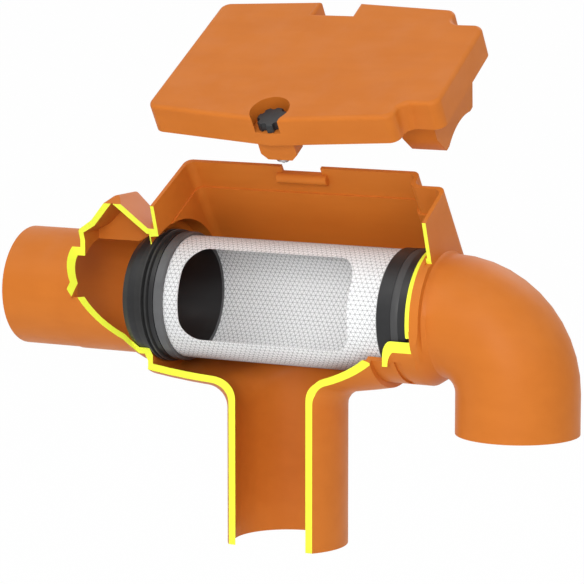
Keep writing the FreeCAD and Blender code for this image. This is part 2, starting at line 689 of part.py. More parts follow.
def lid_plan(prefix, inset, height):
    """Give the lid's outline inset by an expression and pushed up to a height."""
    middle_x = f"{AXIS} + Sizes.lid_middle"
    return extruded(prefix, [
        (f"{AXIS} - Sizes.lid_left + {inset}", f"-Sizes.lid_front + {inset}"),
        (middle_x, f"-Sizes.lid_front - Sizes.lid_front_bulge + {inset}"),
        (f"{BEND_START} - Sizes.lid_right - {inset}", f"-Sizes.lid_front + {inset}"),
        (f"{BEND_START} - Sizes.lid_right - {inset}", f"-Sizes.lid_neck_front + {inset}"),
        (f"{BEND_START} - Sizes.lid_neck_right - {inset}", f"-Sizes.lid_neck_front + {inset}"),
        (f"{BEND_START} - Sizes.lid_neck_right - {inset}", f"Sizes.lid_neck_back - {inset}"),
        (f"{BEND_START} - Sizes.lid_right - {inset}", f"Sizes.lid_neck_back - {inset}"),
        (f"{BEND_START} - Sizes.lid_right - {inset}", f"Sizes.lid_back - {inset}"),
        (middle_x, f"Sizes.lid_back + Sizes.lid_back_bulge - {inset}"),
        (f"{AXIS} - Sizes.lid_left + Sizes.lid_left_slant + {inset}", f"Sizes.lid_back - {inset}"),
    ], height)


def near_middle(edge):
    """Tell whether an upright edge stands at the lid's blunt middle corners."""
    return abs(edge.Curve.Location.x - size("inlet_reach") - size("lid_middle")) < size("lid_wall")


lid_blank = rounded("LidCorners", lid_plan("LidPlan", "0", "Sizes.lid_height"), "lid_corner",
                    lambda edge: runs_along(edge, Z_AXIS) and not near_middle(edge))
lid_notch = doc.addObject("Part::Box", "LidNotch")
lid_notch.setExpression("Length", "Sizes.lid_notch_width")
lid_notch.setExpression("Width", "Sizes.lid_notch_depth + Sizes.lid_back_bulge")
lid_notch.setExpression("Height", "Sizes.lid_height")
put(lid_notch, (f"{AXIS} + Sizes.lid_middle - Sizes.lid_notch_width / 2",
                "Sizes.lid_back + Sizes.lid_back_bulge - Sizes.lid_notch_depth", "0"))
lid_notched = cut("LidNotched", lid_blank, [lid_notch])
lid_body = rounded("LidEdges", lid_notched, "lid_edge",
                   lambda edge: min(point.z for point in edge.discretize(3)) > size("lid_height") - CLOSE)

lid_hollow = lid_plan("LidHollow", "Sizes.lid_wall", "Sizes.lid_height - Sizes.lid_wall")
knob_x = f"{AXIS} + Sizes.lid_middle"
recess_cup = cylinder("RecessCup", "Sizes.recess_radius + Sizes.recess_wall", "Sizes.lid_height",
                      (knob_x, "-Sizes.knob_place", "0"), Z_AXIS)
notch_cup = doc.addObject("Part::Box", "NotchCup")
notch_cup.setExpression("Length", "Sizes.lid_notch_width + Sizes.lid_wall * 2")
notch_cup.setExpression("Width", "Sizes.lid_notch_depth + Sizes.lid_wall")
notch_cup.setExpression("Height", "Sizes.lid_height")
put(notch_cup, (f"{AXIS} + Sizes.lid_middle - Sizes.lid_notch_width / 2 - Sizes.lid_wall",
                "Sizes.lid_back + Sizes.lid_back_bulge - Sizes.lid_notch_depth - Sizes.lid_wall", "0"))
recess = cylinder("Recess", "Sizes.recess_radius", "Sizes.lid_height",
                  (knob_x, "-Sizes.knob_place", "Sizes.recess_floor"), Z_AXIS)

screw_boss = extruded("ScrewBoss", [
    (f"{knob_x} - Sizes.boss_width / 2", "Sizes.recess_floor - Sizes.recess_wall"),
    (f"{knob_x} - Sizes.boss_width / 2", "-Sizes.boss_height + Sizes.boss_corner"),
    (f"{knob_x} - Sizes.boss_width / 2 + Sizes.boss_corner", "-Sizes.boss_height"),
    (f"{knob_x} + Sizes.boss_width / 2 - Sizes.boss_corner", "-Sizes.boss_height"),
    (f"{knob_x} + Sizes.boss_width / 2", "-Sizes.boss_height + Sizes.boss_corner"),
    (f"{knob_x} + Sizes.boss_width / 2", "Sizes.recess_floor - Sizes.recess_wall"),
], "Sizes.boss_depth", placement=UPRIGHT)
put(screw_boss, ("0", "-Sizes.knob_place + Sizes.boss_depth / 2", "0"))

saddle_block = extruded("SaddleBlock", [
    ("-Sizes.saddle_flank_half", "Sizes.lid_height - Sizes.lid_wall"),
    ("-Sizes.saddle_flank_half", "-Sizes.saddle_flank_height"),
    ("-Sizes.saddle_foot_half - Sizes.saddle_foot", "-Sizes.saddle_height"),
    ("Sizes.saddle_foot_half + Sizes.saddle_foot", "-Sizes.saddle_height"),
    ("Sizes.saddle_flank_half", "-Sizes.saddle_flank_height"),
    ("Sizes.saddle_flank_half", "Sizes.lid_height - Sizes.lid_wall"),
], "Sizes.saddle_width", placement=FreeCAD.Placement(
    FreeCAD.Vector(), FreeCAD.Rotation(FULL_TURN / 4, 0, FULL_TURN / 4)))
put(saddle_block, (f"{BEND_START} - Sizes.saddle_right - Sizes.saddle_width", "0", "0"))
saddle_arch = cylinder("SaddleArch", f"{OUTLET_RADIUS} + Sizes.saddle_clearance", "Sizes.saddle_width * 2",
                       (f"{BEND_START} - Sizes.saddle_right - Sizes.saddle_width * 1.5",
                        "0", "-Sizes.rim_height"))
saddle = cut("Saddle", saddle_block, [saddle_arch])
stud_hole = cylinder("StudHole", "Sizes.stud_radius + Sizes.stud_clearance",
                     "Sizes.lid_height + Sizes.boss_height",
                     (knob_x, "-Sizes.knob_place", "-Sizes.boss_height"), Z_AXIS)
lid_tray = cut("LidTray", lid_body, [cut("LidHollowOpen", lid_hollow, [recess_cup, notch_cup])])
lid = cut("Lid", fused("LidWhole", [lid_tray, screw_boss, saddle]), [recess, stud_hole])
lid.Label = "lid"

# Captive star knob with its stud and the ring that keeps it in the lid.
knob_floor = "Sizes.recess_floor + Sizes.ring_clearance"
knob_blank = rounded("KnobEdge", cylinder("KnobBlank", "Sizes.knob_radius", "Sizes.knob_height",
                                          (knob_x, "-Sizes.knob_place", knob_floor), Z_AXIS),
                     "knob_edge",
                     lambda edge: edge.BoundBox.ZMin > size("recess_floor") + size("knob_height") / 2
                     and isinstance(edge.Curve, Part.Circle))
dents = []
for number in range(SIZES["knob_lobes"]):
    turn = f"{number} * 360 / Sizes.knob_lobes"
    dents.append(cylinder(f"KnobDent{number}", "Sizes.knob_dent_radius", "Sizes.knob_height * 2",
                          (f"{knob_x} + Sizes.knob_radius * cos({turn})",
                           f"-Sizes.knob_place + Sizes.knob_radius * sin({turn})",
                           f"{knob_floor} - Sizes.knob_height / 2"), Z_AXIS))
knob_head = cut("KnobHead", knob_blank, dents)
knob_head.Label = "knob_head"
knob_stud = cylinder("KnobStud", "Sizes.stud_radius",
                     f"{knob_floor} + Sizes.boss_height + Sizes.stud_reach",
                     (knob_x, "-Sizes.knob_place", "-Sizes.boss_height - Sizes.stud_reach"), Z_AXIS)
knob_stud.Label = "knob_stud"
retainer_top = "-Sizes.boss_height - Sizes.ring_clearance"
retainer_disc = cylinder("RetainerDisc", "Sizes.retainer_radius", "Sizes.retainer_height",
                         (knob_x, "-Sizes.knob_place", f"{retainer_top} - Sizes.retainer_height"), Z_AXIS)
retainer_bore = cylinder("RetainerBore", "Sizes.stud_radius", "Sizes.retainer_height * 2",
                         (knob_x, "-Sizes.knob_place",
                          f"{retainer_top} - Sizes.retainer_height * 1.5"), Z_AXIS)
knob_retainer = cut("KnobRetainer", retainer_disc, [retainer_bore])
knob_retainer.Label = "knob_retainer"

doc.recompute()

# The lid and the knob's pieces move together from the drawing place to the lifted place.
LIFTED = [lid, knob_head, knob_stud, knob_retainer]
for item in LIFTED:
    for letter in "xyz":
        item.setExpression(f".Placement.Base.{letter}", None)
    item.Placement = LID_PLACE.multiply(item.Placement)

doc.recompute()

PIECES = [housing, lid, knob_head, knob_stud, knob_retainer, filter_mesh, inlet_end_ring, inlet_clamp_ring,
          inlet_seal, outlet_end_ring, outlet_seal]

for item in doc.Objects:
    if "Invalid" in item.State or "Error" in item.State:
        raise RuntimeError(f"{item.Name} failed: {item.State}")
for piece in PIECES:
    shape = piece.Shape
    if shape.isNull() or not shape.isValid() or shape.Volume <= 0:
        raise RuntimeError(f"{piece.Label} has no valid solid")
    if len(shape.Solids) != 1:
        raise RuntimeError(f"{piece.Label} has {len(shape.Solids)} solids")

os.makedirs("parts", exist_ok=True)
for piece in PIECES:
    piece.Shape.exportStep(f"parts/{piece.Label}.step")
    print(piece.Label, "volume", round(piece.Shape.Volume), "cubic mm")
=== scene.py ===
"""Rainwater tank filter: finishes, fine screen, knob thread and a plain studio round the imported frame.

Lengths are in metres in the row frame: X along the flow from the inlet, Z up, the cut side faces -Y.
"""

import logging
import math
from dataclasses import dataclass, field
from enum import Enum

import bmesh
import bpy
from mathutils import Matrix, Vector

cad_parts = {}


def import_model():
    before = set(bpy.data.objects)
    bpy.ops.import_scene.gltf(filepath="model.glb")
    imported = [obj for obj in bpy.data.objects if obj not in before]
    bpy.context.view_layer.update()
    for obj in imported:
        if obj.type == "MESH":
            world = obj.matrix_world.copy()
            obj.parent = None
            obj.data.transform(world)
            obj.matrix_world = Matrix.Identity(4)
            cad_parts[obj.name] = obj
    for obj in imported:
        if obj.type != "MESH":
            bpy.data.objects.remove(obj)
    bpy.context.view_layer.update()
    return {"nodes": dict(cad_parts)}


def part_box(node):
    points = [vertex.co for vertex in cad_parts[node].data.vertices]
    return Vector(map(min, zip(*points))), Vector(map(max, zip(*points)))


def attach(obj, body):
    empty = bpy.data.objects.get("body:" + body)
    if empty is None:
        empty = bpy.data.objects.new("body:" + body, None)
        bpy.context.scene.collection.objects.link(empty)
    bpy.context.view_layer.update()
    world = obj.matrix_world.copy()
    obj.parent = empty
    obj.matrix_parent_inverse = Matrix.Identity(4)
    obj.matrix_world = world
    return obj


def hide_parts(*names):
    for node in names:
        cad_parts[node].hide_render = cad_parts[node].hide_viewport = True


LOG = logging.getLogger("tank_filter")
Colour = tuple[float, float, float]
Place = tuple[float, float, float]
WELD = 5e-6
SMOOTH_DEGREES = 32.0
SAME_WAY = 0.999
SAME_PLANE = 0.00006
DROP_AXIS_X = 0.270
TUBE_RADIUS = 0.0559
UNIT = (0.0, 1.0)
CLOUDS = (0.3, 0.7)


class Body(Enum):
    """Names of the rigid bodies that pieces ride on."""

    FILTER = "filter_body"
    KNOB = "knob"


# Node helpers


@dataclass
class Sheet:
    """Adds and links nodes in one node tree.

    Attributes:
        tree: The tree that receives the nodes.
    """

    tree: bpy.types.NodeTree

    def add(self, kind: str, inputs: dict | None = None, **settings) -> bpy.types.Node:
        """Add one node.

        Args:
            kind: The node's type name.
            inputs: Values or output sockets by input name or number.
            settings: Properties to set on the node.

        Returns:
            The new node.
        """
        node = self.tree.nodes.new(kind)
        for name, value in settings.items():
            setattr(node, name, value)
        for key, value in (inputs or {}).items():
            self.feed(node.inputs[key], value)
        return node

    def feed(self, socket: bpy.types.NodeSocket, value) -> None:
        """Link an output to a socket, or set the socket's own value.

        Args:
            socket: The input to feed.
            value: An output socket, or a plain value.
        """
        if isinstance(value, bpy.types.NodeSocket):
            self.tree.links.new(value, socket)
        else:
            socket.default_value = value

    def calc(self, operation: str, *terms) -> bpy.types.NodeSocket:
        """Give the result of one scalar Math node."""
        kind = "ShaderNodeMath"
        return self.add(kind, dict(enumerate(terms)), operation=operation).outputs[0]

    def vector(self, operation: str, *terms) -> bpy.types.NodeSocket:
        """Give the vector result of one Vector Math node."""
        kind = "ShaderNodeVectorMath"
        return self.add(kind, dict(enumerate(terms)), operation=operation).outputs[0]

    def scaled(self, vector, factor) -> bpy.types.NodeSocket:
        """Give a vector times a number."""
        node = self.add("ShaderNodeVectorMath", {0: vector}, operation="SCALE")
        self.feed(node.inputs["Scale"], factor)
        return node.outputs[0]

    def length(self, vector) -> bpy.types.NodeSocket:
        """Give a vector's length."""
        return self.add("ShaderNodeVectorMath", {0: vector}, operation="LENGTH").outputs["Value"]

    def parts(self, vector) -> tuple:
        """Give a vector's three components."""
        node = self.add("ShaderNodeSeparateXYZ", {0: vector})
        return node.outputs[0], node.outputs[1], node.outputs[2]

    def joined(self, across, along, up) -> bpy.types.NodeSocket:
        """Give a vector from three components."""
        return self.add("ShaderNodeCombineXYZ", {0: across, 1: along, 2: up}).outputs[0]

    def between(
        self, mask, taken: tuple[float, float], given: tuple[float, float]
    ) -> bpy.types.NodeSocket:
        """Map a mask from one range to another, held at both ends.

        Args:
            mask: The value to map.
            taken: Lowest and highest value read.
            given: What those two become.

        Returns:
            The mapped value.
        """
        inputs = dict(zip(("From Min", "From Max", "To Min", "To Max"), (*taken, *given)))
        return self.add("ShaderNodeMapRange", {"Value": mask, **inputs}).outputs[0]

    def blend(self, factor, first, second) -> bpy.types.NodeSocket:
        """Mix two colours by a factor.

        Args:
            factor: Zero gives the first colour, one the second.
            first: Colour or output socket.
            second: Colour or output socket.

        Returns:
            The mixed colour.
        """
        node = self.add("ShaderNodeMix", {"Factor": factor}, data_type="RGBA")
        self.feed(node.inputs[6], first)
        self.feed(node.inputs[7], second)
        return node.outputs[2]


def new_group(
    name: str, kind: str, inputs: dict[str, tuple], outputs: dict[str, str]
) -> tuple[Sheet, dict]:
    """Make a node group with named sockets.

    Args:
        name: The group's name.
        kind: The tree's type name.
        inputs: Socket type and starting value by input name.
        outputs: Socket type by output name.

    Returns:
        The sheet for the group's nodes, and its input sockets by name.
    """
    tree = bpy.data.node_groups.new(name, kind)
    for label, (socket_type, value) in inputs.items():
        socket = tree.interface.new_socket(label, in_out="INPUT", socket_type=socket_type)
        if value is not None:
            socket.default_value = value
    for label, socket_type in outputs.items():
        tree.interface.new_socket(label, in_out="OUTPUT", socket_type=socket_type)
    sheet = Sheet(tree)
    source = sheet.add("NodeGroupInput")
    return sheet, {label: source.outputs[label] for label in inputs}


def noise(sheet: Sheet, place, scale, detail: float) -> bpy.types.NodeSocket:
    """Give fractal noise at a scale."""
    inputs = {"Vector": place, "Scale": scale, "Detail": detail}
    return sheet.add("ShaderNodeTexNoise", inputs).outputs[0]


def new_material(name: str) -> tuple[bpy.types.Material, Sheet, bpy.types.Node]:
    """Make a material with nodes.

    Args:
        name: The material's name.

    Returns:
        The material, its sheet and its surface shader.
    """
    material = bpy.data.materials.new(name)
    material.use_nodes = True
    return material, Sheet(material.node_tree), material.node_tree.nodes["Principled BSDF"]


def add_relief(sheet: Sheet, shader: bpy.types.Node, height, bump: float, relief: float) -> None:
    """Let a height pattern bend a shader's light.

    Args:
        sheet: The material's sheet.
        shader: The material's surface shader.
        height: The pattern.
        bump: Strength of the effect.
        relief: Height of the pattern in metres.
    """
    inputs = {"Strength": bump, "Distance": relief, "Height": height}
    sheet.feed(shader.inputs["Normal"], sheet.add("ShaderNodeBump", inputs).outputs[0])


# Shared surface effects


def moulded_skin() -> bpy.types.NodeTree:
    """Build the group for moulded plastic: cloudy colour, uneven gloss and a fine grain.

    Returns:
        The group, which puts out a colour, a roughness and the grain's height.
    """
    colour, number = "NodeSocketColor", "NodeSocketFloat"
    sheet, source = new_group(
        "Moulded Skin",
        "ShaderNodeTree",
        {
            "Place": ("NodeSocketVector", None),
            "Colour": (colour, (0.5, 0.5, 0.5, 1)),
            "Shade": (colour, (0.4, 0.4, 0.4, 1)),
            "Cloud Scale": (number, 18.0),
            "Grain Scale": (number, 1500.0),
            "Gloss Low": (number, 0.4),
            "Gloss High": (number, 0.5),
        },
        {"Colour": colour, "Roughness": number, "Height": number},
    )
    cloud = noise(sheet, source["Place"], source["Cloud Scale"], 3.0)
    grain = noise(sheet, source["Place"], source["Grain Scale"], 1.0)
    drawn_out = sheet.vector("MULTIPLY", source["Place"], (1.0, 4.0, 4.0))
    flow = noise(sheet, drawn_out, source["Cloud Scale"], 2.0)
    mean = sheet.calc("MULTIPLY", sheet.calc("ADD", cloud, flow), 0.5)
    mask = sheet.between(mean, (0.38, 0.62), UNIT)
    speckle = sheet.between(grain, (0.35, 0.75), (0.0, 0.35))
    tint = sheet.blend(sheet.calc("MAXIMUM", mask, speckle), source["Colour"], source["Shade"])
    span = sheet.calc("SUBTRACT", source["Gloss High"], source["Gloss Low"])
    uneven = sheet.between(cloud, CLOUDS, UNIT)
    rough = sheet.calc("MULTIPLY_ADD", uneven, span, source["Gloss Low"])
    sheet.add("NodeGroupOutput", {"Colour": tint, "Roughness": rough, "Height": grain})
    return sheet.tree


def settled_film() -> bpy.types.NodeTree:
    """Build the group for a faint pale film on upward faces.

    Returns:
        The group, which puts out the colour with the film on it.
    """
    colour, number = "NodeSocketColor", "NodeSocketFloat"
    sheet, source = new_group(
        "Settled Film",
        "ShaderNodeTree",
        {
            "Place": ("NodeSocketVector", None),
            "Facing": ("NodeSocketVector", None),
            "Colour": (colour, (0.5, 0.5, 0.5, 1)),
            "Film": (colour, (0.7, 0.65, 0.6, 1)),
            "Amount": (number, 0.1),
        },
        {"Colour": colour},
    )
    up = sheet.between(sheet.parts(source["Facing"])[2], (0.2, 1.0), UNIT)
    cloud = sheet.between(noise(sheet, source["Place"], 40.0, 4.0), (0.4, 0.7), (0.2, 1.0))
    mask = sheet.calc("MULTIPLY", sheet.calc("MULTIPLY", up, cloud), source["Amount"])
    sheet.add("NodeGroupOutput", {"Colour": sheet.blend(mask, source["Colour"], source["Film"])})
    return sheet.tree


# Finishes


@dataclass(frozen=True)
class Moulding:
    """A moulded plastic or rubber finish.

    Attributes:
        name: Material name.
        slot: The record's material slot.
        colour: Main colour.
        shade: Colour of the darker clouds.
        gloss: Lowest and highest roughness.
        relief: Height of the grain in metres.
        bump: Strength of the grain's effect.
        grain: Grain scale.
        film: Strength of the pale film on top.
        sheen: Sheen weight, for soft rubber.
        mirror: Level of the mirror-like reflection.
    """

    name: str
    slot: str
    colour: Colour
    shade: Colour
    gloss: tuple[float, float] = (0.38, 0.48)
    relief: float = 0.00003
    bump: float = 0.5
    grain: float = 1500.0
    film: float = 0.03
    sheen: float = 0.0
    mirror: float = 0.3

    def build(self, skin: bpy.types.NodeTree, film: bpy.types.NodeTree) -> bpy.types.Material:
        """Build the material.

        Args:
            skin: The moulded skin group.
            film: The settled film group.

        Returns:
            The finished material.
        """
        material, sheet, shader = new_material(self.name)
        place = sheet.add("ShaderNodeTexCoord").outputs["Object"]
        facing = sheet.add("ShaderNodeNewGeometry").outputs["Normal"]
        surface = sheet.add("ShaderNodeGroup", node_tree=skin)
        values = {
            "Place": place,
            "Colour": (*self.colour, 1),
            "Shade": (*self.shade, 1),
            "Grain Scale": self.grain,
            "Gloss Low": self.gloss[0],
            "Gloss High": self.gloss[1],
        }
        for name, value in values.items():
            sheet.feed(surface.inputs[name], value)
        coat = sheet.add("ShaderNodeGroup", node_tree=film)
        for name, value in {"Place": place, "Facing": facing, "Amount": self.film}.items():
            sheet.feed(coat.inputs[name], value)
        sheet.feed(coat.inputs["Colour"], surface.outputs["Colour"])
        sheet.feed(shader.inputs["Base Color"], coat.outputs["Colour"])
        sheet.feed(shader.inputs["Roughness"], surface.outputs["Roughness"])
        add_relief(sheet, shader, surface.outputs["Height"], self.bump, self.relief)
        shader.inputs["Sheen Weight"].default_value = self.sheen
        shader.inputs["Specular IOR Level"].default_value = self.mirror
        return material


@dataclass(frozen=True)
class Metal:
    """A metal finish with fine lines turned or drawn into it.

    Attributes:
        name: Material name.
        slot: The record's material slot.
        colour: Main colour.
        gloss: Lowest and highest roughness.
        stretch: Scale of the lines along X, Y and Z.
        darkened: Brightness of the lines' dark side.
        relief: Height of the lines in metres.
        bump: Strength of their effect.
    """

    name: str
    slot: str
    colour: Colour
    gloss: tuple[float, float] = (0.22, 0.38)
    stretch: Place = (600.0, 2500.0, 2500.0)
    darkened: float = 0.7
    relief: float = 0.00002
    bump: float = 0.4

    def build(self) -> bpy.types.Material:
        """Build the material, with the lines as its only pattern.

        Returns:
            The finished material.
        """
        material, sheet, shader = new_material(self.name)
        place = sheet.add("ShaderNodeTexCoord").outputs["Object"]
        lines = noise(sheet, sheet.vector("MULTIPLY", place, self.stretch), 1.0, 2.0)
        dark = (*(self.darkened * part for part in self.colour), 1)
        sheet.feed(shader.inputs["Base Color"], sheet.blend(lines, (*self.colour, 1), dark))
        sheet.feed(shader.inputs["Roughness"], sheet.between(lines, CLOUDS, self.gloss))
        add_relief(sheet, shader, lines, self.bump, self.relief)
        shader.inputs["Metallic"].default_value = 1.0
        return material


@dataclass(frozen=True)
class FineScreen:
    """The pale micro mesh between the lattice lines, woven round the tube.

    Attributes:
        name: Material name.
        slot: The record's material slot.
        colour: Colour of the threads.
        shade: Colour between the threads.
        gloss: Lowest and highest roughness.
        radius: Radius of the tube.
        threads: Threads round the tube.
        relief: Height of the threads in metres.
        bump: Strength of their effect.
    """

    name: str
    slot: str
    colour: Colour = (0.86, 0.865, 0.87)
    shade: Colour = (0.62, 0.625, 0.635)
    gloss: tuple[float, float] = (0.42, 0.6)
    radius: float = TUBE_RADIUS
    threads: int = 516
    relief: float = 0.00008
    bump: float = 0.35

    def build(self) -> bpy.types.Material:
        """Build the material, with the threads as a pattern in colour, gloss and relief.

        Returns:
            The finished material.
        """
        material, sheet, shader = new_material(self.name)
        place = sheet.add("ShaderNodeTexCoord").outputs["Object"]
        across, along, up = sheet.parts(place)
        turn = sheet.calc("MULTIPLY", sheet.calc("ARCTAN2", up, along), float(self.threads))
        run = sheet.calc("MULTIPLY", across, self.threads / self.radius)
        weave = sheet.calc("MULTIPLY", sheet.calc("SINE", turn), sheet.calc("SINE", run))
        mask = sheet.between(weave, (-0.6, 0.9), UNIT)
        cloud = sheet.between(noise(sheet, place, 30.0, 3.0), CLOUDS, (0.0, 0.25))
        factor = sheet.calc("MAXIMUM", sheet.calc("MULTIPLY", mask, 0.3), cloud)
        tint = sheet.blend(factor, (*self.colour, 1), (*self.shade, 1))
        sheet.feed(shader.inputs["Base Color"], tint)
        sheet.feed(shader.inputs["Roughness"], sheet.between(mask, UNIT, self.gloss))
        add_relief(sheet, shader, weave, self.bump, self.relief)
        return material


@dataclass
class Finishes:
    """Every finish of the filter, built once and kept by name.

    Attributes:
        materials: The built materials by name.
        slots: The record's material slots by material name.
    """

    materials: dict[str, bpy.types.Material] = field(default_factory=dict)
    slots: dict[str, str] = field(default_factory=dict)

    def build(self) -> None:
        """Build all materials."""
        skin, film = moulded_skin(), settled_film()
        mouldings = [
            Moulding("orange_moulding", "housing_plastic", (0.63, 0.182, 0.023), (0.6, 0.168, 0.02),
                     (0.42, 0.52), mirror=0.16),
            Moulding("yellow_cut", "housing_plastic", (0.9, 0.98, 0.06), (0.86, 0.93, 0.05),
                     (0.5, 0.6), relief=0.00001, film=0.0),
            Moulding("black_ring", "ring_plastic", (0.02, 0.02, 0.021), (0.014, 0.014, 0.015),
                     (0.36, 0.46)),
            Moulding("grey_clamp", "clamp_plastic", (0.12, 0.121, 0.124), (0.09, 0.091, 0.094),
                     (0.34, 0.44)),
            Moulding("black_rubber", "seal_rubber", (0.022, 0.022, 0.022), (0.014, 0.014, 0.014),
                     (0.42, 0.55), grain=2200.0, sheen=0.15),
            Moulding("grey_rubber", "seal_rubber", (0.055, 0.055, 0.056), (0.045, 0.045, 0.046),
                     (0.4, 0.5), grain=2200.0),
            Moulding("black_knob", "knob_plastic", (0.028, 0.029, 0.031), (0.018, 0.018, 0.02),
                     (0.4, 0.52)),
            Moulding("grey_lattice", "mesh", (0.36, 0.362, 0.366), (0.3, 0.302, 0.306),
                     (0.45, 0.55), film=0.0),
        ]
        for finish in mouldings:
            self.keep(finish.name, finish.slot, finish.build(skin, film))
        plain = (
            Metal("turned_steel", "stud_steel", (0.6, 0.6, 0.62)),
            FineScreen("micro_mesh", "mesh"),
            # A lighter copy of the same screen finish for the tube's inside: painted light, not a
            # different material.
            FineScreen("inner_mesh_painted_bright", "mesh", (0.95, 0.952, 0.955), (0.8, 0.803, 0.808)),
        )
        for finish in plain:
            self.keep(finish.name, finish.slot, finish.build())

    def keep(self, name: str, slot: str, material: bpy.types.Material) -> None:
        """Store one built material with its slot."""
        self.materials[name] = material
        self.slots[name] = slot


# Mesh helpers


def merged_copy(node: bpy.types.Object, name: str) -> bpy.types.Object:
    """Copy a CAD node's mesh, merge its doubled points and shade it smooth between sharp edges.

    Args:
        node: The CAD node's object.
        name: Name of the new object.

    Returns:
        The new object, linked to the scene.
    """
    mesh = node.data.copy()
    mesh.name = name
    mesh.materials.clear()
    work = bmesh.new()
    work.from_mesh(mesh)
    bmesh.ops.remove_doubles(work, verts=work.verts, dist=WELD)
    work.to_mesh(mesh)
    work.free()
    return shaded(mesh, name)


def shaded(mesh: bpy.types.Mesh, name: str, smooth_degrees: float = SMOOTH_DEGREES) -> bpy.types.Object:
    """Link a mesh as an object, smooth between its sharp edges.

    Args:
        mesh: The mesh to show.
        name: Name of the new object.
        smooth_degrees: Edges that turn by more than this stay sharp.

    Returns:
        The new object, linked to the scene.
    """
    for layer in [item.name for item in mesh.attributes if item.name == "custom_normal"]:
        mesh.attributes.remove(mesh.attributes[layer])
    mesh.polygons.foreach_set("use_smooth", [True] * len(mesh.polygons))
    mesh.set_sharp_from_angle(angle=math.radians(smooth_degrees))
    piece = bpy.data.objects.new(name, mesh)
    bpy.context.scene.collection.objects.link(piece)
    weights = piece.modifiers.new("Even shading", "WEIGHTED_NORMAL")
    weights.keep_sharp = True
    return piece


@dataclass
class Dresser:
    """Gives pieces their finish and body, and reports them.

    Attributes:
        nodes: The CAD nodes by name.
        finishes: The built finishes.
    """

    nodes: dict[str, bpy.types.Object]
    finishes: Finishes

    def dress(self, piece: bpy.types.Object, finish: str, body: Body, *replaced: str) -> bpy.types.Object:
        """Finish one piece.

        Args:
            piece: The object to finish.
            finish: Name of its main finish.
            body: The body that it rides on.
            replaced: CAD nodes that it stands for.

        Returns:
            The same object.
        """
        if not piece.data.materials:
            piece.data.materials.append(self.finishes.materials[finish])
        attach(piece, body.value)
        if replaced:
            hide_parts(*replaced)
        LOG.info("%s: %d faces, on %s", piece.name, len(piece.data.polygons), body.value)
        return piece

    def copy(
        self, node: str, name: str, finish: str, body: Body = Body.FILTER
    ) -> bpy.types.Object:
        """Stand a smooth copy in for one CAD node.

        Args:
            node: The CAD node's name.
            name: Name of the new piece.
            finish: Name of its finish.
            body: The body that it rides on.

        Returns:
            The new piece.
        """
        return self.dress(merged_copy(self.nodes[node], name), finish, body, node)


# Housing


@dataclass(frozen=True)
class CutFace:
    """A flat face left by the display cut.

    Attributes:
        point: A point on it.
        normal: The way it faces.
        least_x: It starts at this X.
    """

    point: Vector
    normal: Vector
    least_x: float = 0.05

    def holds(self, centre: Vector, normal: Vector) -> bool:
        """Tell whether a triangle with this centre and normal lies on the face."""
        if centre.x < self.least_x or self.normal.dot(normal) < SAME_WAY:
            return False
        return abs(self.normal.dot(centre - self.point)) < SAME_PLANE


def leaning(degrees: float) -> Matrix:
    """Give the rotation about X by an angle in degrees."""
    return Matrix.Rotation(math.radians(degrees), 3, "X")


